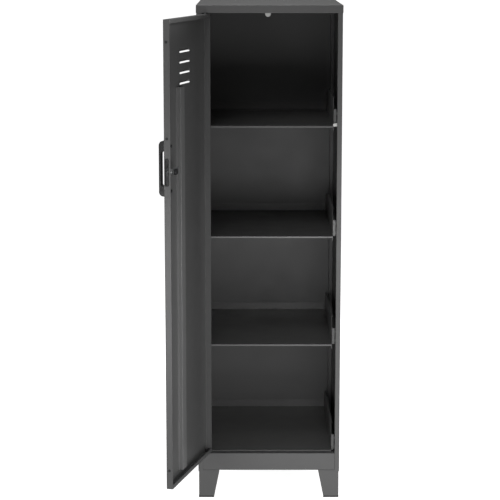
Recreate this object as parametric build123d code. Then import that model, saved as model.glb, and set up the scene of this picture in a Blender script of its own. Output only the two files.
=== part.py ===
from build123d import *
import os
from math import cos, pi, radians, sin

os.makedirs("parts", exist_ok=True)

# A narrow single-door steel locker on four tapered legs, in mm.
# Origin: floor level under the middle of the carcass. +X is the viewer's right, -Y the front, +Z up.
# The door is drawn closed and then swung open about its hinge pins.

# Carcass
width = 380.0
depth = 490.0
height = 1321.0
sheet = 1.0
inner_bend = 0.6

# Cap and header
cap_overlap = 1.0
cap_edge_share = 0.96
header_height = 20.4
header_return = 26.0
header_lip = 8.5

# Stiles, which are the folded front edges of the side panels
stile_width = 12.8
jamb_depth = 15.5
jamb_lip = 3.8
rear_flange = 15.0

# Base
base_bottom = 76.0
rail_height = 47.0
rear_rail_height = 32.0
rail_top_return = 21.5
rail_bottom_return = 30.0
rail_lip = 8.0
side_rail_reach = 24.0
side_rail_foot = 4.0
side_rail_gap = 0.3

# Legs
leg_sheet = 1.5
leg_inset = 1.5
leg_face_inset = 0.4
leg_top_width = 55.0
leg_bottom_width = 41.0
leg_plate = 3.5
glide_height = 4.0
glide_plug = 6.0
glide_wall = 5.0
glide_proud = 0.5
leg_bolt_r = 3.0
leg_bolt_places = ((40.0, 17.0), (22.0, 17.0))
bolt_head_af = 10.0
bolt_head_height = 4.0
bolt_end = 2.0
nut_height = 5.0
fit_gap = 0.1

# Slotted posts in the four corners
post_outside_opening = 1.8
post_width = 24.0
slot_height = 13.0
slot_width = 1.6
slots_per_bay = 12

# Shelves and floor tray
floor_above_rail = 2.3
top_bay_extra = 0.9
shelf_names = ("lower_shelf", "middle_shelf", "upper_shelf")
tray_side_gap = 10.5
tray_setback = 23.5
tray_rear_gap = 2.5
tray_front_hem = 5.0
tray_rear_upstand = 21.0
tray_side_hem = 13.0

# Side brackets of each tray
bracket_height = 72.0
bracket_front_height = 42.5
bracket_rear_height = 49.0
bracket_front_slope = 22.0
bracket_level_share = 0.65
bracket_skirt = 14.0
bracket_flange = 7.5
bracket_top_flange = 3.5
bracket_behind_bumper = 1.5
bracket_rear_gap = 10.0
hook_rise = 6.0
hook_height = 6.0
hook_tongue = 6.0
hook_thickness = 1.7
hook_behind_gap = 0.3
rivet_r = 2.0
rivet_head_r = 3.6
rivet_head = 1.2
rivet_drop = 8.0
rivet_ends = 60.0

# Door
door_side_gap = 1.95
door_bottom_gap = 2.25
door_top_gap = 2.35
door_depth = 16.7
door_lip = 10.0
door_open_deg = 105.0
pivot_from_edge = 8.0
pivot_from_face = 5.0

# Hinge pins, bushes and washer
pin_r = 2.5
pin_gap = 0.05
pin_head_r = 3.4
pin_head = 2.0
pin_into_door = 9.0
bush_r = 3.8
bush_block = 8.0
bush_block_front = 3.3
bush_block_back = 6.0
bush_block_hinge = 6.4
bush_block_free = 6.0
washer_r = 4.7
washer_height = 1.8

# Door pressing
louvre_top_margin = 85.85
louvre_pitch = 26.3
louvre_count = 4
louvre_width = 88.0
louvre_slot = 9.0
louvre_below = 2.4
louvre_mouth = 3.0
louvre_proud = 6.0
louvre_rise = 13.0
edge_hole_r = 2.25
edge_hole_depth = 8.0
edge_plug_head_r = 3.4
edge_plug_head = 0.6
edge_plug_stem = 5.0
edge_hole_low = 47.75
edge_hole_above_lock = 83.0
edge_hole_high = 54.25
drain_r = 3.0
drain_from_edge = 12.0
stiffener_from_edge = 109.5
stiffener_top = 30.0
stiffener_proud = 8.8
stiffener_flange = 12.0
stiffener_below = 19.0
stiffener_top_gap = 6.5

# Pull handle
handle_above_lock = 3.0
handle_from_edge = 55.0
handle_length = 138.7
handle_post = 26.7
handle_width = 16.0
handle_proud = 28.6
handle_bar = 6.4
handle_corner = 11.5
handle_inner_corner = 5.0
handle_round = 1.6
handle_screw_r = 2.0
handle_screw_head_r = 4.0
handle_screw_head = 2.4
handle_screw_depth = 9.0

# Cam lock
lock_height = 927.0
lock_from_edge = 25.0
edge_slot_length = 67.0
edge_slot_width = 9.5
edge_slot_centre = 7.25
bezel_r = 10.0
bezel_proud = 2.5
barrel_r = 7.0
barrel_short = 1.0
lock_washer_r = 9.6
lock_washer = 0.9
lock_nut_af = 19.0
lock_nut = 3.6
plug_r = 5.0
plug_gap = 0.05
plug_recess = 0.4
cam_behind_door = 0.3
cam_thickness = 3.2
cam_width = 17.0
cam_length = 34.0
cam_square = 7.0
cam_square_gap = 0.05
cam_screw_r = 3.0
cam_nut_r = 8.0
cam_nut = 6.8
keyway_width = 1.8
keyway_height = 7.0
keyway_depth = 5.0
strike_front_gap = 0.6
strike_rear_gap = 1.4

# White nylon bumpers
bumper_gap = 0.3
header_bumper_x = -4.0
header_bumper_width = 15.0
header_bumper_drop = 10.0
header_bumper_thickness = 5.0
side_bumper_above_shelf = 2.9
side_bumper_width = 8.0
side_bumper_thickness = 5.5
side_bumper_reach = 12.0
side_bumper_stem_r = 1.8
bumper_stem_r = 2.0
bumper_barb = 2.5
barb_grip = 0.6

# Wall fixing and back panel screws
anchor_r = 3.5
anchor_spacing = 240.0
anchor_below_header = 10.6
screw_r = 1.6
screw_head_r = 3.4
screw_head = 0.9
screw_tail = 6.0
back_screw_count = 5
back_screw_margin = 90.0

# Worked-out places
bend = sheet + inner_bend
half = width / 2
front = -depth / 2
back = depth / 2
header_bottom = height - header_height
rail_top = base_bottom + rail_height
rear_rail_top = base_bottom + rear_rail_height
opening_half = half - stile_width
post_face = opening_half + post_outside_opening
front_post_y = front + jamb_depth
rear_post_y = back - 2 * sheet - post_width
back_front = back - 2 * sheet
tray_half = post_face - tray_side_gap
tray_width = 2 * tray_half
tray_front = front + tray_setback
tray_rear = back_front - tray_rear_gap
tray_depth = tray_rear - tray_front
bracket_y1 = back_front - bracket_rear_gap
floor_top = rail_top + floor_above_rail
shelf_pitch = (header_bottom - floor_top - top_bay_extra) / (len(shelf_names) + 1)
slot_pitch = shelf_pitch / slots_per_bay
door_x0 = -opening_half + door_side_gap
door_x1 = opening_half - door_side_gap
door_z0 = rail_top + door_bottom_gap
door_z1 = header_bottom - door_top_gap
door_back = front + door_depth
skin = front + sheet
bumper_front = door_back + bumper_gap
bracket_y0 = bumper_front + side_bumper_thickness + bracket_behind_bumper
bracket_length = bracket_y1 - bracket_y0
pivot_x = door_x0 + pivot_from_edge
pivot_y = front + pivot_from_face
lock_x = door_x1 - lock_from_edge
handle_x = door_x1 - handle_from_edge
handle_height = lock_height + handle_above_lock
cam_start = door_depth + cam_behind_door
barrel_depth = cam_start - barrel_short
louvre_x = (door_x0 + door_x1) / 2
louvre_first = door_z1 - louvre_top_margin - louvre_pitch * (louvre_count - 1)
edge_hole_heights = (
    door_z0 + edge_hole_low,
    lock_height + edge_hole_above_lock,
    door_z1 - edge_hole_high,
)
leg_bottom = base_bottom - leg_plate
shelf_heights = [floor_top + shelf_pitch * n for n in range(len(shelf_names) + 1)]
side_bumper_height = shelf_heights[-1] + side_bumper_above_shelf
anchor_height = header_bottom - anchor_below_header

parts = {}


def block(x0, x1, y0, y1, z0, z1):
    """A box between two limits on each axis."""
    middle = Pos((x0 + x1) / 2, (y0 + y1) / 2, (z0 + z1) / 2)
    return middle * Box(abs(x1 - x0), abs(y1 - y0), abs(z1 - z0))


def post(x, y, z0, z1, r):
    """A round bar along Z."""
    return Pos(x, y, (z0 + z1) / 2) * Cylinder(r, z1 - z0)


def bar_y(x, z, y0, y1, r):
    """A round bar along Y."""
    return Pos(x, (y0 + y1) / 2, z) * Rot(90, 0, 0) * Cylinder(r, y1 - y0)


def bar_x(y, z, x0, x1, r):
    """A round bar along X."""
    return Pos((x0 + x1) / 2, y, z) * Rot(0, 90, 0) * Cylinder(r, x1 - x0)


def folded(points, side, plane, length, thickness=sheet):
    """A sheet bent along points, to the left (1) or right (-1) of them, run out along the normal."""
    spots = [Vector(*p) for p in points]
    ways = [(b - a).normalized() for a, b in zip(spots, spots[1:])]
    normals = [Vector(-w.Y, w.X) * side for w in ways]
    other = [spots[0] + normals[0] * thickness]
    near_radii = []
    far_radii = []
    for spot, before, after, way in zip(spots[1:], normals, normals[1:], ways):
        other.append(spot + (before + after) * (thickness / (1 + before.dot(after))))
        toward = way.dot(after) < 0
        near_radii.append(thickness + inner_bend if toward else inner_bend)
        far_radii.append(inner_bend if toward else thickness + inner_bend)
    other.append(spots[-1] + normals[-1] * thickness)
    near = FilletPolyline(*spots, radius=near_radii)
    far = FilletPolyline(*other, radius=far_radii)
    ends = [Line(spots[0], other[0]), Line(spots[-1], other[-1])]
    return extrude(plane * make_face([near, far] + ends), length)


def hexagon(flats, length):
    """A hexagonal bar along Z from the plane Z = 0."""
    return extrude(RegularPolygon(flats / 2, 6, major_radius=False), length)


def left_of(shape):
    """The same piece on the other side of the carcass."""
    return mirror(shape, about=Plane.YZ)


def swung(shape):
    """A door piece at the angle that the open door stands at."""
    to_pin = Pos(pivot_x, pivot_y, 0)
    return to_pin * Rot(0, 0, -door_open_deg) * Pos(-pivot_x, -pivot_y, 0) * shape


# ---- Cap with its header, one folded sheet with welded sides ----
def make_cap():
    rear = back + cap_overlap
    outer = half + cap_overlap
    section = [
        (rear, header_bottom),
        (rear, height),
        (front, height),
        (front, header_bottom),
        (front + header_return, header_bottom),
        (front + header_return, header_bottom + header_lip),
    ]
    cap = folded(section, 1, Plane.YZ.offset(-outer), 2 * outer)
    outline = Pos((front + rear) / 2, height - header_height / 2) * Rectangle(
        rear - front, header_height
    )
    low_front = outline.vertices().sort_by(Axis.Y)[:2].sort_by(Axis.X)[0]
    rounded = outline.vertices().sort_by(Axis.Y)[2:] + [low_front]
    cheek = extrude(Plane.YZ.offset(half) * fillet(rounded, bend), cap_overlap)
    cap += cheek + left_of(cheek)
    long_edges = cap.edges().filter_by(Axis.Y).sort_by(Axis.Z)[-2:]
    cap = fillet(long_edges, cap_overlap * cap_edge_share)
    groove = block(half - sheet - fit_gap / 2, half, skin, back, header_bottom, height - sheet)
    cap -= groove + left_of(groove)
    cap -= post(pivot_x, pivot_y, header_bottom, header_bottom + sheet, pin_r)
    stem_y = bumper_front + header_bumper_thickness / 2
    cap -= post(header_bumper_x, stem_y, header_bottom, header_bottom + sheet, bumper_stem_r)
    return cap


parts["top_panel"] = make_cap()


# ---- Side panels: stile, jamb, wall and rear flange in one sheet ----
def make_side():
    section = [
        (opening_half + jamb_lip, front + jamb_depth),
        (opening_half, front + jamb_depth),
        (opening_half, front),
        (half, front),
        (half, back),
        (half - rear_flange, back),
    ]
    top = height - sheet
    side = folded(section, 1, Plane.XY.offset(base_bottom), top - base_bottom)
    cap_room = block(0, half - sheet, front, back + 1, header_bottom, top)
    header_room = block(0, half, front - 1, skin, header_bottom, top)
    return side - cap_room - header_room


right_side = make_side()
parts["right_side_panel"] = right_side
parts["left_side_panel"] = left_of(right_side)


# ---- Back panel, held to the rear flanges by a row of screws on each side ----
back_screw_x = half - rear_flange / 2
back_screw_step = (header_bottom - rail_top - 2 * back_screw_margin) / (back_screw_count - 1)
back_screw_heights = [
    rail_top + back_screw_margin + back_screw_step * n for n in range(back_screw_count)
]


def make_back():
    reach = half - bend - fit_gap / 2
    panel = block(-reach, reach, back_front, back - sheet, rear_rail_top, height - sheet)
    for side in (-1, 1):
        x = side * anchor_spacing / 2
        panel -= bar_y(x, anchor_height, back_front, back - sheet, anchor_r)
        for z in back_screw_heights:
            panel -= bar_y(side * back_screw_x, z, back_front, back - sheet, screw_r)
    return panel


parts["back_panel"] = make_back()
for name, side in (("right_side_panel", 1), ("left_side_panel", -1)):
    for z in back_screw_heights:
        parts[name] -= bar_y(side * back_screw_x, z, back - sheet, back, screw_r)

back_screws = []
for side in (-1, 1):
    for z in back_screw_heights:
        shank = bar_y(side * back_screw_x, z, back - screw_tail, back, screw_r)
        head = bar_y(side * back_screw_x, z, back, back + screw_head, screw_head_r)
        cross = block(-2.0, 2.0, 0, 0.6, -0.4, 0.4) + block(-0.4, 0.4, 0, 0.6, -2.0, 2.0)
        head = fillet(head.faces().sort_by(Axis.Y)[-1].edges(), 0.5)
        head -= Pos(side * back_screw_x, back + screw_head - 0.6, z) * cross
        back_screws.append(shank + head)
parts["back_panel_screws"] = Compound(children=[Solid(s.solid().wrapped) for s in back_screws])


# ---- Base rails: front, rear and the two side angles ----
def make_rail(reach, top):
    section = [
        (front + rail_bottom_return, base_bottom),
        (front, base_bottom),
        (front, top),
        (front + rail_top_return, top),
        (front + rail_top_return, top - rail_lip),
    ]
    rail = folded(section, -1, Plane.YZ.offset(-reach), 2 * reach)
    for side in (-1, 1):
        for x_in, y_in in leg_bolt_places:
            x, y = side * (half - x_in), front + y_in
            rail -= post(x, y, base_bottom, base_bottom + sheet, leg_bolt_r)
    return rail


pin_hole = post(pivot_x, pivot_y, rail_top - sheet, rail_top, pin_r)
parts["front_base_rail"] = make_rail(opening_half, rail_top) - pin_hole
rear_rail = make_rail(half - rear_flange, rear_rail_top)
parts["rear_base_rail"] = mirror(rear_rail, about=Plane.XZ)


def make_side_rail():
    """An angle on the side wall, from the front post to the rear post, that closes the base."""
    wall = half - sheet
    y0 = front_post_y + post_width + side_rail_gap
    y1 = rear_post_y - side_rail_gap
    section = [
        (wall, base_bottom + side_rail_foot),
        (wall, rear_rail_top),
        (wall - side_rail_reach, rear_rail_top),
    ]
    from_rear = Plane(origin=(0, y1, 0), x_dir=(1, 0, 0), z_dir=(0, -1, 0))
    return folded(section, 1, from_rear, y1 - y0)


parts["right_base_rail"] = make_side_rail()
parts["left_base_rail"] = left_of(make_side_rail())


# ---- Legs: a tapered folded angle under a plate, with a nylon glide plugged in the foot ----
def leg_corner():
    return half - leg_inset, front + leg_face_inset


def leg_outline(width_top, width_bottom, z0):
    """The tapered outline of one leg face, measured in from its outer edge."""
    corners = [(0, leg_bottom), (width_top, leg_bottom), (width_bottom, z0), (0, z0)]
    return make_face(Polyline(*corners, close=True))


def make_leg():
    x, y = leg_corner()
    angle_points = [(x - leg_top_width, y), (x, y), (x, y + leg_top_width)]
    z0 = glide_height - 1.0
    angle = folded(
        angle_points, 1, Plane.XY.offset(z0), leg_bottom - z0, thickness=leg_sheet
    )
    outline = leg_outline(leg_top_width, leg_bottom_width, z0)
    facing_front = Plane(origin=(x, y - 1, 0), x_dir=(-1, 0, 0), z_dir=(0, 1, 0))
    facing_side = Plane(origin=(x + 1, y, 0), x_dir=(0, 1, 0), z_dir=(1, 0, 0))
    angle &= extrude(facing_front * outline, leg_top_width + 2)
    angle &= extrude(facing_side * outline, leg_top_width + 2, both=True)
    plate = block(
        x - leg_top_width, half, front, y + leg_top_width, leg_bottom, base_bottom
    )
    corner = plate.edges().filter_by(Axis.Z).sort_by(Axis.X)[-2:].sort_by(Axis.Y)[0]
    plate = fillet(corner, bend)
    for x_in, y_in in leg_bolt_places:
        plate -= post(half - x_in, front + y_in, leg_bottom, base_bottom, leg_bolt_r)
    return angle + plate


def make_glide(leg):
    x, y = leg_corner()
    reach = leg_bottom_width + glide_proud
    out_x, out_y = x + glide_proud, y - glide_proud
    sole = block(out_x - reach, out_x, out_y, out_y + glide_wall, 0, glide_height)
    sole += block(out_x - glide_wall, out_x, out_y, out_y + reach, 0, glide_height)
    edge = sole.edges().filter_by(Axis.Z).sort_by(Axis.X)[-2:].sort_by(Axis.Y)[0]
    sole = fillet(edge, bend)
    in_x, in_y = x - leg_sheet, y + leg_sheet
    top = glide_height + glide_plug
    plug = block(out_x - reach + 4, in_x, in_y, out_y + glide_wall, glide_height, top)
    plug += block(out_x - glide_wall, in_x, in_y, out_y + reach - 4, glide_height, top)
    return sole + plug - leg


leg = make_leg()
glide = make_glide(leg)
glides = []
for name, turn in (
    ("front_right_leg", lambda s: s),
    ("front_left_leg", left_of),
    ("rear_right_leg", lambda s: mirror(s, about=Plane.XZ)),
    ("rear_left_leg", lambda s: mirror(left_of(s), about=Plane.XZ)),
):
    parts[name] = turn(leg)
    glides.append(turn(glide))
parts["foot_glides"] = Compound(children=[Solid(g.solid().wrapped) for g in glides])


def make_leg_bolt(x, y):
    """A hexagon bolt pushed up through the leg plate and the rail, and its nut."""
    head_z = leg_bottom - bolt_head_height
    nut_z = base_bottom + sheet
    shank = post(x, y, leg_bottom - 1, nut_z + nut_height + bolt_end, leg_bolt_r)
    bolt = Pos(x, y, head_z) * hexagon(bolt_head_af, bolt_head_height) + shank
    nut = Pos(x, y, nut_z) * hexagon(bolt_head_af, nut_height)
    return bolt, nut - shank


bolts = []
nuts = []
for side_x in (-1, 1):
    for side_y in (-1, 1):
        for x_in, y_in in leg_bolt_places:
            bolt, nut = make_leg_bolt(side_x * (half - x_in), side_y * (back - y_in))
            bolts.append(Solid(bolt.solid().wrapped))
            nuts.append(Solid(nut.solid().wrapped))
parts["leg_bolts"] = Compound(children=bolts)
parts["leg_nuts"] = Compound(children=nuts)


# ---- Corner posts: channels with a ladder of slots, welded to the side walls ----
def hook_heights(tray_top):
    """The underside of each hook neck on a tray's brackets."""
    return [tray_top + hook_rise, tray_top + hook_rise + slot_pitch]


def make_post(y0, hook_y, strike=False):
    y1 = y0 + post_width
    wall = half - sheet
    section = [(wall, y0), (post_face, y0), (post_face, y1), (wall, y1)]
    channel = folded(
        section, -1, Plane.XY.offset(base_bottom), header_bottom - base_bottom
    )
    slots = []
    z = floor_top + hook_rise
    while z + slot_height < header_bottom - slot_pitch / 2:
        mid = hook_y + sheet / 2
        y_low, y_high = mid - slot_width / 2, mid + slot_width / 2
        slots.append(block(post_face - 1, post_face + sheet, y_low, y_high, z, z + slot_height))
        z += slot_pitch
    channel -= slots
    if strike:
        y_low = front + cam_start - strike_front_gap
        y_high = front + cam_start + cam_thickness + strike_rear_gap
        span = edge_slot_length / 2
        channel -= block(
            post_face - 1,
            post_face + sheet,
            y_low,
            y_high,
            lock_height - span,
            lock_height + span,
        )
        bumper_y = bumper_front + side_bumper_thickness / 2
        hole_end = post_face + sheet
        channel -= bar_x(bumper_y, side_bumper_height, post_face, hole_end, side_bumper_stem_r)
    return channel


rear_hook_y = bracket_y1 - sheet
parts["front_right_post"] = make_post(front_post_y, bracket_y0, strike=True)
parts["front_left_post"] = left_of(make_post(front_post_y, bracket_y0))
rear_post = make_post(rear_post_y, rear_hook_y)
for z in back_screw_heights:
    rear_post -= bar_y(back_screw_x, z, back_front - sheet, back_front, screw_r)
parts["rear_right_post"] = rear_post
parts["rear_left_post"] = left_of(rear_post)


# ---- Trays: three shelves and the floor, all one pressing ----
def rivet_places():
    span = tray_depth - 2 * rivet_ends
    return [tray_front + rivet_ends + span * n / 2 for n in range(3)]


def make_tray(z):
    section = [
        (tray_front, z - tray_front_hem),
        (tray_front, z),
        (tray_rear, z),
        (tray_rear, z + tray_rear_upstand),
    ]
    tray = folded(section, -1, Plane.YZ.offset(-tray_half), tray_width)
    hem = block(
        tray_half - sheet,
        tray_half,
        tray_front + 2 * bend,
        tray_rear - 2 * bend,
        z - tray_side_hem,
        z - sheet / 2,
    )
    tray += hem + left_of(hem)
    for y in rivet_places():
        tray -= bar_x(y, z - rivet_drop, -tray_half - 1, tray_half + 1, rivet_r)
    return tray


def make_bracket(z):
    """The right-hand bracket: a tall plate, flanged at both ends, with hooks for the posts."""
    face = tray_half
    reach = face + bracket_flange
    section = [(reach, bracket_y0), (face, bracket_y0), (face, bracket_y1), (reach, bracket_y1)]
    low = z - bracket_skirt
    top = z + bracket_height
    plate = folded(section, -1, Plane.XY.offset(low), top - low)
    level_y = bracket_y0 + bracket_level_share * bracket_length
    notch = 3 * sheet
    outline = [
        (bracket_y0 + notch, low),
        (bracket_y0 + notch, z + sheet),
        (bracket_y0, z + sheet),
        (bracket_y0, z + bracket_front_height),
        (bracket_y0 + bracket_front_slope, top),
        (level_y, top),
        (bracket_y1, z + bracket_rear_height),
        (bracket_y1, z + sheet),
        (bracket_y1 - notch, z + sheet),
        (bracket_y1 - notch, low),
    ]
    keep = make_face(Polyline(*outline, close=True))
    plate &= extrude(Plane.YZ.offset(face - 1) * keep, bracket_flange + 2)
    plate += block(
        face,
        face + bracket_top_flange,
        bracket_y0 + bracket_front_slope,
        level_y,
        top - sheet,
        top,
    )
    tongue_x = post_face + sheet + hook_behind_gap
    for h in hook_heights(z):
        for y in (bracket_y0, rear_hook_y):
            far = tongue_x + hook_thickness
            plate += block(reach - 1, far, y, y + sheet, h, h + hook_height)
            plate += block(tongue_x, far, y, y + sheet, h - hook_tongue, h + hook_height)
    for y in rivet_places():
        plate -= bar_x(y, z - rivet_drop, face - 1, face + 2, rivet_r)
    return plate


def make_rivets(z):
    """Six domed rivets, three through each side hem and its bracket."""
    rivets = []
    for side in (-1, 1):
        for y in rivet_places():
            inner = tray_half - sheet
            outer = tray_half + sheet
            shank = bar_x(y, z - rivet_drop, inner, outer, rivet_r)
            dome = bar_x(y, z - rivet_drop, outer, outer + rivet_head, rivet_head_r)
            dome = fillet(dome.faces().sort_by(Axis.X)[-1].edges(), rivet_head * 0.7)
            tail = bar_x(y, z - rivet_drop, inner - rivet_head, inner, rivet_head_r * 0.8)
            rivet = shank + dome + tail
            rivets.append(rivet if side > 0 else left_of(rivet))
    return Compound(children=[Solid(r.solid().wrapped) for r in rivets])


for name, z in zip(("floor_tray",) + shelf_names, shelf_heights):
    bracket = make_bracket(z)
    parts[name] = make_tray(z)
    parts[name + "_right_bracket"] = bracket
    parts[name + "_left_bracket"] = left_of(bracket)
    parts[name + "_rivets"] = make_rivets(z)


# ---- White nylon bumpers that the closed door rests against ----
def make_header_bumper():
    y0 = bumper_front
    y1 = y0 + header_bumper_thickness
    r = header_bumper_width / 2
    low = header_bottom - header_bumper_drop
    body = bar_y(header_bumper_x, low + r, y0, y1, r)
    body += block(header_bumper_x - r, header_bumper_x + r, y0, y1, low + r, header_bottom)
    body &= block(header_bumper_x - r, header_bumper_x + r, y0, y1, low, header_bottom)
    mid = (y0 + y1) / 2
    top = header_bottom + sheet
    stem = post(header_bumper_x, mid, header_bottom - 1, top, bumper_stem_r)
    barb = Cone(bumper_stem_r + barb_grip, bumper_stem_r - barb_grip, bumper_barb)
    return body + stem + Pos(header_bumper_x, mid, top + bumper_barb / 2) * barb


def make_side_bumper():
    y0 = bumper_front
    y1 = y0 + side_bumper_thickness
    z = side_bumper_height
    r = side_bumper_width / 2
    tip = post_face - side_bumper_reach
    head = bar_y(tip + r, z, y0, y1, r) + block(tip + r, post_face, y0, y1, z - r, z + r)
    mid = (y0 + y1) / 2
    stem_end = post_face + sheet
    stem = bar_x(mid, z, post_face - 1, stem_end, side_bumper_stem_r)
    barb = Cone(side_bumper_stem_r + barb_grip, side_bumper_stem_r - barb_grip, bumper_barb)
    return head + stem + Pos(stem_end + bumper_barb / 2, mid, z) * Rot(0, 90, 0) * barb


parts["header_bumper"] = make_header_bumper()
parts["side_bumper"] = make_side_bumper()


# ---- Hinge pins, fixed in the header and the base rail ----
top_pin = post(pivot_x, pivot_y, door_z1 - pin_into_door, header_bottom + sheet, pin_r)
top_head = header_bottom + sheet
parts["upper_hinge_pin"] = top_pin + post(
    pivot_x, pivot_y, top_head, top_head + pin_head, pin_head_r
)
low_pin = post(pivot_x, pivot_y, rail_top - sheet, door_z0 + pin_into_door, pin_r)
low_head = rail_top - sheet
parts["lower_hinge_pin"] = low_pin + post(
    pivot_x, pivot_y, low_head - pin_head, low_head, pin_head_r
)
washer = post(pivot_x, pivot_y, rail_top, rail_top + washer_height, washer_r)
parts["hinge_washer"] = washer - post(pivot_x, pivot_y, rail_top, rail_top + washer_height, pin_r)


# ---- Door pan with its louvres and holes ----
def louvre_hood(z):
    """One hood: a curved lip on the outer face, open at the bottom, with rounded ends."""
    mouth_z = z - louvre_below + louvre_mouth
    top_z = mouth_z + louvre_rise
    x0 = louvre_x - louvre_width / 2

    def lens(shrink, low):
        proud = louvre_proud - shrink
        peak = top_z - shrink
        start = (front + sheet / 2, low)
        lip = (front - proud, low)
        curve = Bezier(lip, (front - proud, low + (peak - low) * 0.6), (front, peak))
        close_up = Polyline((front, peak), (front + sheet / 2, peak), start, lip)
        return make_face([curve, close_up])

    outer = extrude(Plane.YZ.offset(x0) * lens(0, mouth_z), louvre_width)
    ends = outer.faces().filter_by(Axis.X).edges().filter_by(GeomType.BEZIER)
    outer = fillet(ends, louvre_proud * 0.6)
    inner_width = louvre_width - 2 * sheet
    inner = extrude(Plane.YZ.offset(x0 + sheet) * lens(sheet, mouth_z - 1), inner_width)
    ends = inner.faces().filter_by(Axis.X).edges().filter_by(GeomType.BEZIER)
    inner = fillet(ends, (louvre_proud - sheet) * 0.5)
    slot = block(
        x0 + sheet,
        x0 + louvre_width - sheet,
        front - 1,
        skin + 1,
        z - louvre_below,
        z - louvre_below + louvre_slot,
    )
    return outer, inner, slot


def make_door():
    pan = block(door_x0, door_x1, front, door_back, door_z0, door_z1)
    pan = fillet(pan.faces().sort_by(Axis.Y)[0].edges(), bend)
    hollow = block(
        door_x0 + sheet,
        door_x1 - sheet,
        skin,
        door_back + bend,
        door_z0 + sheet,
        door_z1 - sheet,
    )
    hollow = fillet(hollow.faces().sort_by(Axis.Y)[0].edges(), bend - sheet)
    pan -= hollow
    x0, x1 = door_x0 + sheet / 2, door_x1 - sheet / 2
    lip_y = door_back - sheet
    pan += block(x0, x1, lip_y, door_back, door_z1 - door_lip, door_z1 - sheet / 2)
    pan += block(x0, x1, lip_y, door_back, door_z0 + sheet / 2, door_z0 + door_lip)
    for n in range(louvre_count):
        outer, inner, slot = louvre_hood(louvre_first + louvre_pitch * n)
        pan += outer
        pan -= inner
        pan -= slot
    edge_plane = Plane.YZ.offset(door_x1 - 2 * sheet)
    slot_shape = Pos(front + edge_slot_centre, lock_height) * SlotOverall(
        edge_slot_length, edge_slot_width, rotation=90
    )
    pan -= extrude(edge_plane * slot_shape, 3 * sheet)
    for z in edge_hole_heights:
        pan -= bar_x(front + edge_hole_depth, z, door_x1 - 2 * sheet, door_x1 + 1, edge_hole_r)
    drain_x = door_x1 - drain_from_edge
    pan -= post(drain_x, front + edge_hole_depth, door_z0 - 1, door_z0 + sheet, drain_r)
    for z0, z1 in ((door_z0 - 1, door_z0 + sheet), (door_z1 - sheet, door_z1 + 1)):
        pan -= post(pivot_x, pivot_y, z0, z1, bush_r)
    pan -= bar_y(lock_x, lock_height, front - 1, skin + 1, barrel_r)
    for z in handle_screw_heights():
        pan -= bar_y(handle_x, z, front - 1, skin + 1, handle_screw_r)
    return pan


def handle_screw_heights():
    reach = (handle_length - handle_post) / 2
    return [handle_height - reach, handle_height + reach]


def make_edge_plug(z):
    """A black nylon plug pushed into one hole of the door's free flange."""
    y = front + edge_hole_depth
    head = bar_x(y, z, door_x1, door_x1 + edge_plug_head, edge_plug_head_r)
    head = fillet(head.faces().sort_by(Axis.X)[-1].edges(), edge_plug_head * 0.6)
    return head + bar_x(y, z, door_x1 - edge_plug_stem, door_x1, edge_hole_r)


parts["door_panel"] = swung(make_door())
edge_plugs = [swung(make_edge_plug(z)) for z in edge_hole_heights]
parts["edge_plugs"] = Compound(children=[Solid(s.solid().wrapped) for s in edge_plugs])


# ---- Hat-section stiffener spot-welded inside the door ----
def make_stiffener():
    x1 = door_x1 - stiffener_from_edge
    x0 = x1 - stiffener_top
    crest = skin + stiffener_proud
    section = [
        (x0 - stiffener_flange, skin),
        (x0, skin),
        (x0, crest),
        (x1, crest),
        (x1, skin),
        (x1 + stiffener_flange, skin),
    ]
    z0 = door_z0 + stiffener_below
    return folded(section, 1, Plane.XY.offset(z0), louvre_first - stiffener_top_gap - z0)


parts["door_stiffener"] = swung(make_stiffener())


# ---- Pull handle and its two screws ----
def make_handle():
    outer = Rectangle(handle_proud, handle_length)
    outer = fillet(outer.vertices().sort_by(Axis.X)[:2], handle_corner)
    gap_length = handle_length - 2 * handle_post
    gap = Rectangle(handle_proud, gap_length)
    gap = fillet(gap.vertices().sort_by(Axis.X)[:2], handle_inner_corner)
    shape = outer - Pos(handle_bar, 0) * gap
    place = Pos(front - handle_proud / 2, handle_height)
    body = extrude(Plane.YZ.offset(handle_x - handle_width / 2) * place * shape, handle_width)
    faces = body.faces().filter_by(Axis.X)
    rim = faces.edges()
    keep = [e for e in rim if abs(e.center().Y - front) > 0.01]
    body = fillet(keep, handle_round)
    for z in handle_screw_heights():
        body -= bar_y(handle_x, z, front - handle_screw_depth, front + 1, handle_screw_r)
    return body


def make_handle_screw(z):
    shank = bar_y(handle_x, z, front - handle_screw_depth, skin, handle_screw_r)
    head = bar_y(handle_x, z, skin, skin + handle_screw_head, handle_screw_head_r)
    head = fillet(head.faces().sort_by(Axis.Y)[-1].edges(), handle_screw_head * 0.5)
    return shank + head


parts["handle"] = swung(make_handle())
handle_screws = [swung(make_handle_screw(z)) for z in handle_screw_heights()]
parts["handle_screws"] = Compound(children=[Solid(s.solid().wrapped) for s in handle_screws])


# ---- Hinge bushes: nylon blocks in the door's corners, with a spigot through the flange ----
def make_bush(flange_z, inward):
    inner = flange_z + inward * sheet
    deep = inner + inward * bush_block
    z0, z1 = min(inner, deep), max(inner, deep)
    body = block(
        pivot_x - bush_block_hinge,
        pivot_x + bush_block_free,
        pivot_y - bush_block_front,
        pivot_y + bush_block_back,
        z0,
        z1,
    )
    body += post(pivot_x, pivot_y, min(flange_z, inner), max(flange_z, inner), bush_r)
    low, high = min(flange_z, deep) - 1, max(flange_z, deep) + 1
    return body - post(pivot_x, pivot_y, low, high, pin_r + pin_gap)


parts["upper_hinge_bush"] = swung(make_bush(door_z1, -1))
parts["lower_hinge_bush"] = swung(make_bush(door_z0, 1))


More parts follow.
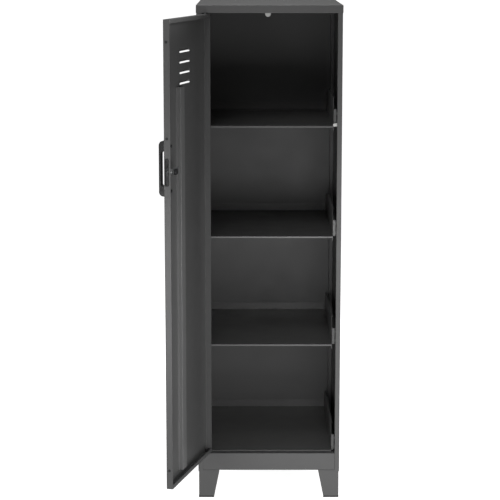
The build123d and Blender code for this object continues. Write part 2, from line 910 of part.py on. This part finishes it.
# ---- Cam lock: fixed barrel, washer and nut, turning plug, cam and cam nut ----
def facing_in(shape, depth_in):
    """A piece drawn along +Z, laid along +Y at the lock's axis."""
    return Pos(lock_x, front + depth_in, lock_height) * Rot(-90, 0, 0) * shape


def tube(outer_r, inner_r, length):
    ring = Circle(outer_r) - Circle(inner_r)
    return extrude(ring, length)


def make_barrel():
    body = tube(barrel_r, plug_r + plug_gap, barrel_depth)
    bezel = tube(bezel_r, plug_r + plug_gap, bezel_proud)
    rim = bezel.edges().filter_by(GeomType.CIRCLE).group_by(Axis.Z)[0].sort_by(SortBy.RADIUS)[-1]
    bezel = fillet(rim, bezel_proud * 0.5)
    return facing_in(body, 0) + facing_in(bezel, -bezel_proud)


def make_plug():
    start = plug_recess - bezel_proud
    length = cam_start - start
    core = extrude(Circle(plug_r), length)
    core -= Pos(0, 0, keyway_depth / 2) * Box(keyway_width, keyway_height, keyway_depth)
    square = Pos(0, 0, length) * extrude(Rectangle(cam_square, cam_square), cam_thickness)
    stud = Pos(0, 0, length + cam_thickness) * extrude(Circle(cam_screw_r), cam_nut - 2)
    return facing_in(core + square + stud, start)


def make_cam():
    """A flat tongue with one round end on the plug; at rest it points to the hinge side."""
    r = cam_width / 2
    long_part = Pos(-(cam_length - 1) / 2, 0) * Rectangle(cam_length - 1, cam_width)
    tip = fillet(long_part.vertices().sort_by(Axis.X)[:2], 3.0)
    shape = tip + Circle(r)
    hole = cam_square + 2 * cam_square_gap
    shape -= Rectangle(hole, hole)
    body = extrude(shape, cam_thickness)
    return facing_in(body, cam_start)


def make_cam_nut():
    dome = extrude(Circle(cam_nut_r), cam_nut)
    dome = fillet(dome.faces().sort_by(Axis.Z)[-1].edges(), cam_nut * 0.55)
    dome -= extrude(Circle(cam_screw_r), cam_nut - 2)
    return facing_in(dome, cam_start + cam_thickness)


lock_washer_start = sheet
lock_nut_start = lock_washer_start + lock_washer
lock_nut_body = hexagon(lock_nut_af, lock_nut) - extrude(Circle(barrel_r), lock_nut)
parts["lock_barrel"] = swung(make_barrel())
parts["lock_washer"] = swung(facing_in(tube(lock_washer_r, barrel_r, lock_washer), sheet))
parts["lock_nut"] = swung(facing_in(lock_nut_body, lock_nut_start))
parts["lock_plug"] = swung(make_plug())
parts["latch_cam"] = swung(make_cam())
parts["cam_nut"] = swung(make_cam_nut())


for name, shape in parts.items():
    export_step(shape, f"parts/{name}.step")

# Joint axes as the model stands
turn = radians(-door_open_deg)
dx, dy = lock_x - pivot_x, front - pivot_y
lock_at = (
    pivot_x + dx * cos(turn) - dy * sin(turn),
    pivot_y + dx * sin(turn) + dy * cos(turn),
)
print(f"{len(parts)} nodes")
print(f"door hinge at x {pivot_x:.3f}, y {pivot_y:.3f}")
print(f"lock axis through x {lock_at[0]:.3f}, y {lock_at[1]:.3f}, z {lock_height:.1f}")
print(f"lock axis direction {-sin(turn):.5f}, {cos(turn):.5f}, 0, turn {turn / pi:.4f} pi")
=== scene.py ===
import bpy
import bmesh
import math
from mathutils import Matrix, Vector


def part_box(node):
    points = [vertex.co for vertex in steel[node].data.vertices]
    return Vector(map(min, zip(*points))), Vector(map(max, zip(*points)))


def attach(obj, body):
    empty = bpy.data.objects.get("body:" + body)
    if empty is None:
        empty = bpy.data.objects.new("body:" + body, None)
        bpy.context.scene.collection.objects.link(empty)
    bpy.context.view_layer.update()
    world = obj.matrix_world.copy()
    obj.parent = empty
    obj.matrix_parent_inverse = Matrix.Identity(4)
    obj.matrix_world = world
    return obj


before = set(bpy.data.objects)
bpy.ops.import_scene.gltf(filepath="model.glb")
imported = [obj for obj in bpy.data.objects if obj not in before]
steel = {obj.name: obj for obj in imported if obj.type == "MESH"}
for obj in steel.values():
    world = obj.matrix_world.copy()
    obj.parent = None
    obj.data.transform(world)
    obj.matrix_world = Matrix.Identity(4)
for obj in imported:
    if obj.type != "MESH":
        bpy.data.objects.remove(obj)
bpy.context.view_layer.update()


# ---- Base rails ----
# The front and rear rails and two side angles make the base frame. They are folded from 1 mm sheet
# steel, spot-welded to the side panels and sprayed with the cabinet's dark grey satin powder.
def new_finish(name):
    """An empty material with its shader, its output and the piece's own coordinates."""
    finish = bpy.data.materials.new(name)
    finish.use_nodes = True
    tree = finish.node_tree
    tree.nodes.clear()
    shader = tree.nodes.new("ShaderNodeBsdfPrincipled")
    out = tree.nodes.new("ShaderNodeOutputMaterial")
    tree.links.new(shader.outputs["BSDF"], out.inputs["Surface"])
    place = tree.nodes.new("ShaderNodeTexCoord").outputs["Object"]
    return finish, tree, shader, place


def clouds(tree, place, size, detail=3.0):
    """Soft noise whose patches are about size metres across."""
    noise = tree.nodes.new("ShaderNodeTexNoise")
    noise.inputs["Scale"].default_value = 1.0 / size
    noise.inputs["Detail"].default_value = detail
    tree.links.new(place, noise.inputs["Vector"])
    return noise.outputs["Fac"]


def spread(tree, value, low, high):
    """The middle of a noise value, spread from low to high."""
    ranged = tree.nodes.new("ShaderNodeMapRange")
    ranged.inputs["From Min"].default_value = 0.3
    ranged.inputs["From Max"].default_value = 0.7
    ranged.inputs["To Min"].default_value = low
    ranged.inputs["To Max"].default_value = high
    tree.links.new(value, ranged.inputs["Value"])
    return ranged.outputs["Result"]


def blended(tree, factor, dark, light):
    """A colour between dark and light."""
    mix = tree.nodes.new("ShaderNodeMix")
    mix.data_type = "RGBA"
    mix.inputs["A"].default_value = (*dark, 1.0)
    mix.inputs["B"].default_value = (*light, 1.0)
    tree.links.new(factor, mix.inputs["Factor"])
    return mix.outputs["Result"]


def multiplied(tree, first, second):
    """Two colours multiplied together."""
    mix = tree.nodes.new("ShaderNodeMix")
    mix.data_type = "RGBA"
    mix.blend_type = "MULTIPLY"
    mix.inputs["Factor"].default_value = 1.0
    tree.links.new(first, mix.inputs["A"])
    tree.links.new(second, mix.inputs["B"])
    return mix.outputs["Result"]


def grained(tree, height, depth, strength, under=None):
    """A bump whose hills are depth metres high."""
    bump = tree.nodes.new("ShaderNodeBump")
    bump.inputs["Distance"].default_value = depth
    bump.inputs["Strength"].default_value = strength
    tree.links.new(height, bump.inputs["Height"])
    if under is not None:
        tree.links.new(under, bump.inputs["Normal"])
    return bump.outputs["Normal"]


def powder_coat(name, tone, rough):
    """Satin powder: drifts of tone where the coat is thicker, fine grain and orange peel."""
    finish, tree, shader, place = new_finish(name)
    drift = clouds(tree, place, 0.28)
    thin, thick = [0.97 * tone] * 3, [1.03 * tone] * 3
    base = blended(tree, spread(tree, drift, 0.0, 1.0), thin, thick)
    grain = clouds(tree, place, 0.0011, 2.0)
    speck = blended(tree, spread(tree, grain, 0.0, 1.0), (0.86, 0.86, 0.86), (1.0, 1.0, 1.0))
    tree.links.new(multiplied(tree, base, speck), shader.inputs["Base Color"])
    wear = clouds(tree, place, 0.045, 5.0)
    tree.links.new(spread(tree, wear, rough - 0.02, rough + 0.03), shader.inputs["Roughness"])
    peel = clouds(tree, place, 0.0035, 1.0)
    coarse = grained(tree, peel, 0.00005, 0.2)
    tree.links.new(grained(tree, grain, 0.00008, 0.45, coarse), shader.inputs["Normal"])
    return finish


def rounded_edges(name, radius, edge_finish=None):
    """Eases the sharp edges of a steel part, and gives them their own thinner, rubbed coat."""
    part = steel[name]
    weld = part.modifiers.new("weld", "WELD")
    weld.merge_threshold = 0.00001
    ease = part.modifiers.new("ease", "BEVEL")
    ease.width = radius
    ease.segments = 2
    ease.limit_method = "ANGLE"
    ease.angle_limit = math.radians(40)
    ease.use_clamp_overlap = True
    if edge_finish is not None:
        part.data.materials.append(edge_finish)
        ease.material = len(part.data.materials) - 1
    even = part.modifiers.new("even", "WEIGHTED_NORMAL")
    even.keep_sharp = True


def coat(names, finish, edge_finish=None, radius=0.00025):
    """Gives each named steel part its finish and its eased edges."""
    for name in names:
        steel[name].material_slots[0].material = finish
        rounded_edges(name, radius, edge_finish)


carcass_tone = 0.118
edge_lift = 1.35
carcass_coat = powder_coat("cabinet_paint_satin", carcass_tone, 0.42)
carcass_edge = powder_coat("cabinet_paint_edge", carcass_tone * edge_lift, 0.34)
rail_names = ["front_base_rail", "rear_base_rail", "right_base_rail", "left_base_rail"]
coat(rail_names, carcass_coat, carcass_edge)


# ---- Legs ----
# Four tapered angle legs of 1.5 mm steel, each welded under a plate that is bolted up into the rails.
# The weld along the plate is a rippled bead that the powder runs over.
leg_names = ["front_right_leg", "front_left_leg", "rear_right_leg", "rear_left_leg"]
coat(leg_names, carcass_coat, carcass_edge, 0.0003)


def new_piece(name, shape, body, finish, smooth=True):
    """A finished mesh that rides on a body."""
    mesh = bpy.data.meshes.new(name)
    shape.to_mesh(mesh)
    shape.free()
    piece = bpy.data.objects.new(name, mesh)
    bpy.context.collection.objects.link(piece)
    mesh.materials.append(finish)
    for face in mesh.polygons:
        face.use_smooth = smooth
    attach(piece, body)


def lay_bead(shape, start, end, radius):
    """Adds one weld bead from start to end: a round string of overlapping ripples."""
    ripple = 0.0025
    along = end - start
    way = along.normalized()
    side = way.orthogonal().normalized()
    up = way.cross(side)
    around = 10
    steps = max(8, int(along.length / ripple) * 4)
    rings = []
    for n in range(steps + 1):
        t = n / steps
        swell = 1.0 + 0.14 * math.sin(2 * math.pi * along.length * t / ripple)
        tip = math.sqrt(max(0.0, 1.0 - (2 * t - 1) ** 16))
        r = radius * swell * max(tip, 0.05)
        ring = []
        for k in range(around):
            a = 2 * math.pi * k / around
            spot = start + along * t + side * (r * math.cos(a)) + up * (r * math.sin(a))
            ring.append(shape.verts.new(spot))
        rings.append(ring)
    for low, high in zip(rings, rings[1:]):
        for k in range(around):
            shape.faces.new((low[k], low[(k + 1) % around], high[(k + 1) % around], high[k]))
    shape.faces.new(list(reversed(rings[0])))
    shape.faces.new(rings[-1])


leg_weld_radius = 0.0012
leg_wall = 0.0015
leg_side_inset = 0.0015
leg_face_inset = 0.0004
leg_plate = 0.0035
weld_reach = 0.045
weld_starts = (0.12, 0.62)
weld_share = 0.36
for leg_name in leg_names:
    low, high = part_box(leg_name)
    out_x = 1 if high.x > 0 else -1
    out_y = 1 if high.y > 0 else -1
    inner_x = out_x * (max(abs(low.x), abs(high.x)) - leg_side_inset - leg_wall)
    inner_y = out_y * (max(abs(low.y), abs(high.y)) - leg_face_inset - leg_wall)
    corner = Vector((inner_x, inner_y, high.z - leg_plate))
    beads = bmesh.new()
    for share in weld_starts:
        for inward in (Vector((-out_x, 0, 0)), Vector((0, -out_y, 0))):
            start = corner + inward * weld_reach * share
            end = corner + inward * weld_reach * (share + weld_share)
            lay_bead(beads, start, end, leg_weld_radius)
    new_piece(leg_name + "_weld", beads, "cabinet", carcass_coat)


# ---- Foot glides ----
# Black nylon angles plugged into the foot of each leg. They are moulded, so they are matt, with
# a fine mould grain.
def moulded_plastic(name, colour, rough, grain_size=0.0006):
    """Moulded plastic: even colour with faint flow marks and a fine mould grain."""
    finish, tree, shader, place = new_finish(name)
    flow = clouds(tree, place, 0.012, 4.0)
    base = blended(
        tree, spread(tree, flow, 0.0, 1.0), [0.9 * c for c in colour], [1.06 * c for c in colour]
    )
    tree.links.new(base, shader.inputs["Base Color"])
    tree.links.new(spread(tree, flow, rough - 0.06, rough + 0.06), shader.inputs["Roughness"])
    grain = clouds(tree, place, grain_size, 2.0)
    tree.links.new(grained(tree, grain, 0.00005, 0.5), shader.inputs["Normal"])
    return finish


black_nylon = moulded_plastic("black_nylon_moulded", (0.022, 0.022, 0.023), 0.5)
coat(["foot_glides"], black_nylon, None, 0.0004)


# ---- Leg bolts and nuts ----
# Zinc-plated M6 hexagon bolts go up through the leg plate and the rail, with a nut above.
# The plating is pale and slightly blue, with faint stains and fine tool marks.
def plated_metal(name, colour, rough):
    """Plated or polished metal with fine tool marks and faint stains."""
    finish, tree, shader, place = new_finish(name)
    stain = clouds(tree, place, 0.009, 4.0)
    base = blended(
        tree, spread(tree, stain, 0.0, 1.0), [0.84 * c for c in colour], colour
    )
    tree.links.new(base, shader.inputs["Base Color"])
    marks = clouds(tree, place, 0.0008, 2.0)
    tree.links.new(spread(tree, marks, rough - 0.07, rough + 0.09), shader.inputs["Roughness"])
    tree.links.new(grained(tree, marks, 0.00003, 0.4), shader.inputs["Normal"])
    shader.inputs["Metallic"].default_value = 1.0
    return finish


zinc_plate = plated_metal("zinc_plate", (0.5, 0.51, 0.52), 0.42)
coat(["leg_bolts", "leg_nuts"], zinc_plate, None, 0.0003)


# ---- Side panels ----
# Each side is one sheet: stile, jamb, wall and rear flange, folded round with 1.6 mm outer bends.
# The wall is plain, with the same satin powder inside and out.
side_names = ["right_side_panel", "left_side_panel"]
coat(side_names, carcass_coat, carcass_edge)


# ---- Back panel and its screws ----
# A flat sheet that drops between the side panels' rear flanges and the posts, held by ten
# pan-head cross screws driven from behind. The two larger holes near the top are for wall anchors.
coat(["back_panel"], carcass_coat, carcass_edge, 0.0002)
steel["back_panel_screws"].material_slots[0].material = zinc_plate


# ---- Cap ----
# The top and its header are one sheet folded over the side panels; the corners are welded
# and ground flush before coating. The header's lower edge turns back under as the door's upper jamb.
coat(["top_panel"], carcass_coat, carcass_edge)


# ---- Corner posts ----
# Slotted channels welded inside each side panel. The shelves' hooks drop into the slots. Each post
# is stitched to the wall with short weld beads down both edges.
post_names = ["front_right_post", "front_left_post", "rear_right_post", "rear_left_post"]
coat(post_names, carcass_coat, None, 0.00015)
post_weld_radius = 0.0011
stitch = 0.022
first_stitch = 0.08
stitch_pitch = 0.21
stitch_sink = 0.0006
for post_name in post_names:
    low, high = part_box(post_name)
    wall_x = high.x if high.x > 0 else low.x
    outward = 1 if wall_x > 0 else -1
    stitches = bmesh.new()
    for level in range(5):
        z = low.z + (high.z - low.z) * (first_stitch + stitch_pitch * level)
        for y in (low.y, high.y):
            start = Vector((wall_x - outward * stitch_sink, y, z))
            lay_bead(stitches, start, start + Vector((0, 0, stitch)), post_weld_radius)
    new_piece(post_name + "_weld", stitches, "cabinet", carcass_coat)


# ---- Shelves and floor tray ----
# All four are one pressing: a flat tray with a rolled front edge and a rear upstand, riveted to a
# tall bracket at each end. They are coated a little glossier, so the tops mirror what is behind them.
shelf_tone = 0.12
shelf_coat = powder_coat("shelf_paint_satin", shelf_tone, 0.3)
shelf_edge = powder_coat("shelf_paint_edge", shelf_tone * 1.4, 0.28)
tray_names = ["floor_tray", "lower_shelf", "middle_shelf", "upper_shelf"]
coat(tray_names, shelf_coat, shelf_edge)
for tray_name in tray_names:
    coat([tray_name + "_right_bracket", tray_name + "_left_bracket"], shelf_coat, shelf_edge, 0.0002)
    steel[tray_name + "_rivets"].material_slots[0].material = shelf_coat


# ---- Bumpers ----
# Two white nylon stops, one hung under the header and one in the right front post, pushed home on
# a barb. The closed door rests against them.
white_nylon = moulded_plastic("white_nylon_moulded", (0.78, 0.78, 0.76), 0.42)
for bumper in ("header_bumper", "side_bumper"):
    coat([bumper], white_nylon, None, 0.0004)


# ---- Hinge ----
# The door turns on two headed steel pins in nylon bushes. A nylon washer under the door's
# lower corner carries its weight.
coat(["upper_hinge_pin", "lower_hinge_pin"], zinc_plate, None, 0.0003)
coat(["hinge_washer", "upper_hinge_bush", "lower_hinge_bush"], black_nylon, None, 0.0004)


# ---- Door pan ----
# One sheet folded into a shallow pan, with four louvres pressed out near the top and a hat-section
# stiffener spot-welded down the inside.
door_coat = powder_coat("door_paint_satin", carcass_tone, 0.36)
door_edge = powder_coat("door_paint_edge", carcass_tone * edge_lift, 0.32)
coat(["door_panel"], door_coat, door_edge, 0.0002)
# Painted highlight: the stiffener's coat is 1.55 times lighter than the pan's, standing in for the
# light that falls on its side walls.
stiffener_painted_light_lift = 1.55
stiffener_painted_light_coat = powder_coat("stiffener_paint_painted_light", carcass_tone * stiffener_painted_light_lift, 0.3)
coat(["door_stiffener"], stiffener_painted_light_coat, door_edge, 0.0002)


# ---- Hole plugs and slot sleeve ----
# Three black nylon plugs close the spare holes in the door's free flange, and a moulded sleeve of the
# same nylon lines its long slot with a lip round the edge. Their black is painted shade: dark pieces
# that stand in for the shade inside the holes and the slot.
# The plugs' black nylon is painted shade in the flange's holes.
coat(["edge_plugs"], black_nylon, None, 0.00015)

# The section runs round the sleeve's wall: how far outside the slot's edge, and how far proud.
slot_length = 0.067
slot_width = 0.0095
slot_from_pin = Vector((0.3425, 0.00225, 0.927))
door_swing = math.radians(-105)
sleeve_section = (
    (0.0011, 0.0),
    (0.0009, 0.0007),
    (-0.0009, 0.0007),
    (-0.0012, 0.0004),
    (-0.0012, -0.005),
    (-0.0002, -0.005),
    (-0.0002, 0.0),
)
pin_low, pin_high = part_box("upper_hinge_pin")
pin_middle = (pin_low + pin_high) / 2
to_pin = Matrix.Translation((pin_middle.x, pin_middle.y, 0))
to_door = to_pin @ Matrix.Rotation(door_swing, 4, "Z")
sleeve = bmesh.new()
turns = 32
straight = (slot_length - slot_width) / 2
loops = []
for outward, proud in sleeve_section:
    loop = []
    for n in range(turns):
        a = 2 * math.pi * (n + 0.5) / turns
        radius = slot_width / 2 + outward
        rise = math.copysign(straight, math.sin(a)) + radius * math.sin(a)
        spot = slot_from_pin + Vector((proud, radius * math.cos(a), rise))
        loop.append(sleeve.verts.new(to_door @ spot))
    loops.append(loop)
for first, second in zip(loops, loops[1:] + loops[:1]):
    for n in range(turns):
        sleeve.faces.new((first[n], first[(n + 1) % turns], second[(n + 1) % turns], second[n]))
bmesh.ops.recalc_face_normals(sleeve, faces=sleeve.faces)
# The sleeve's black nylon is painted shade that darkens the slot.
new_piece("edge_slot_painted_shade_sleeve", sleeve, "door", black_nylon, False)


# ---- Pull handle ----
# A black C-shaped pull moulded in glass-filled nylon, held from inside the door by two
# pan-head screws that are blacked with oxide.
handle_finish = moulded_plastic("handle_black_satin", (0.012, 0.012, 0.013), 0.34, 0.0005)
coat(["handle"], handle_finish, None, 0.0003)


def blacked_steel(name, colour, rough):
    """Oxide-blacked steel: dark metal with an oily, patchy sheen."""
    finish, tree, shader, place = new_finish(name)
    patches = clouds(tree, place, 0.004, 4.0)
    base = blended(tree, patches, [0.7 * c for c in colour], [1.2 * c for c in colour])
    tree.links.new(base, shader.inputs["Base Color"])
    tree.links.new(spread(tree, patches, rough - 0.06, rough + 0.08), shader.inputs["Roughness"])
    tree.links.new(grained(tree, patches, 0.00003, 0.3), shader.inputs["Normal"])
    shader.inputs["Metallic"].default_value = 0.6
    return finish


black_oxide = blacked_steel("black_oxide", (0.025, 0.025, 0.027), 0.34)
steel["handle_screws"].material_slots[0].material = black_oxide


# ---- Cam lock ----
# A satin-nickel barrel clamped by a hexagon nut, with a turning plug, a zinc-plated cam and a black
# domed nut that holds the cam on.
lock_nickel = plated_metal("lock_nickel_satin", (0.4, 0.405, 0.41), 0.4)
steel["lock_barrel"].material_slots[0].material = lock_nickel
steel["lock_plug"].material_slots[0].material = lock_nickel
for name in ("lock_washer", "lock_nut"):
    steel[name].material_slots[0].material = zinc_plate
cam_zinc = plated_metal("cam_zinc_dull", (0.22, 0.225, 0.23), 0.55)
steel["latch_cam"].material_slots[0].material = cam_zinc
steel["cam_nut"].material_slots[0].material = black_oxide


# ---- Studio ----
# A pale floor that runs up into a white dome, lit by soft boxes. The floor and the dome are only a
# backdrop: the object's own light comes from the boxes and a faint even fill.
def backdrop_white(name, glow):
    """A matt white with a glow of its own."""
    finish, tree, shader, place = new_finish(name)
    drift = clouds(tree, place, 0.9)
    base = blended(tree, spread(tree, drift, 0.0, 1.0), (0.88, 0.88, 0.88), (0.9, 0.9, 0.9))
    tree.links.new(base, shader.inputs["Base Color"])
    tree.links.new(spread(tree, drift, 0.85, 0.95), shader.inputs["Roughness"])
    shader.inputs["Specular IOR Level"].default_value = 0.1
    shader.inputs["Emission Color"].default_value = (1.0, 1.0, 1.0, 1.0)
    shader.inputs["Emission Strength"].default_value = glow
    return finish


def backdrop(name, shape, glow):
    """A white surface that is seen but neither lights nor shades the object."""
    mesh = bpy.data.meshes.new(name)
    shape.to_mesh(mesh)
    shape.free()
    sheet = bpy.data.objects.new(name, mesh)
    bpy.context.collection.objects.link(sheet)
    mesh.materials.append(backdrop_white(name + "_white", glow))
    sheet.visible_diffuse = False
    sheet.visible_glossy = False
    sheet.visible_shadow = False


room_radius = 40.0
floor_shape = bmesh.new()
bmesh.ops.create_grid(floor_shape, x_segments=2, y_segments=2, size=room_radius)
backdrop("studio_floor", floor_shape, 0.92)
dome_shape = bmesh.new()
bmesh.ops.create_uvsphere(dome_shape, u_segments=48, v_segments=24, radius=room_radius)
backdrop("studio_dome", dome_shape, 1.0)

world = bpy.data.worlds.new("even_fill")
world.use_nodes = True
bpy.context.scene.world = world
room = world.node_tree
room.nodes.clear()
fill = room.nodes.new("ShaderNodeBackground")
fill.inputs["Color"].default_value = (1.0, 1.0, 1.0, 1.0)
fill.inputs["Strength"].default_value = 0.16
world_out = room.nodes.new("ShaderNodeOutputWorld")
room.links.new(fill.outputs["Background"], world_out.inputs["Surface"])


def soft_light(name, place, target, width, height, power):
    """A rectangular soft box at place, aimed at target."""
    lamp = bpy.data.lights.new(name, "AREA")
    lamp.shape = "RECTANGLE"
    lamp.size = width
    lamp.size_y = height
    lamp.energy = power
    holder = bpy.data.objects.new(name, lamp)
    holder.location = place
    holder.rotation_euler = (Vector(target) - Vector(place)).to_track_quat("-Z", "Y").to_euler()
    holder.visible_camera = False
    bpy.context.collection.objects.link(holder)


soft_light("near_front_softbox", (0.1, -1.2, 0.6), (0.0, -0.245, 0.6), 0.5, 0.3, 2.4)
soft_light("low_left_softbox", (-0.9, -1.8, 0.4), (0.0, -0.3, 0.4), 0.6, 0.6, 4.9)
soft_light("top_front_softbox", (-0.5, -1.2, 2.0), (0.0, -0.2, 1.2), 0.6, 0.4, 5.0)
soft_light("overhead_softbox", (0.0, 0.08, 2.2), (0.0, 0.08, 1.3), 0.5, 0.5, 5.0)
soft_light("floor_bounce", (0.3, -1.1, 0.02), (0.0, -0.3, 0.5), 1.0, 0.8, 4.2)
soft_light("rear_right_softbox", (1.7, 2.0, 1.7), (0.0, 0.1, 0.7), 1.2, 1.2, 32.0)
soft_light("rear_left_softbox", (-1.9, 1.8, 1.2), (0.0, 0.1, 0.6), 1.2, 1.2, 26.0)
soft_light("right_softbox", (2.2, 0.4, 0.35), (0.0, 0.0, 0.4), 0.8, 0.5, 7.0)

bpy.context.scene.view_settings.view_transform = "Standard"

eye = Vector((-0.0507, -4.861, 1.480))
pitch_down = math.radians(9.84)
lens = bpy.data.cameras.new("front_view")
lens.lens = 127.6
lens.sensor_width = 36.0
camera = bpy.data.objects.new("front_view", lens)
camera.location = eye
camera.rotation_euler = (math.radians(90) - pitch_down, 0, 0)
bpy.context.collection.objects.link(camera)
bpy.context.scene.camera = camera

bpy.context.view_layer.update()
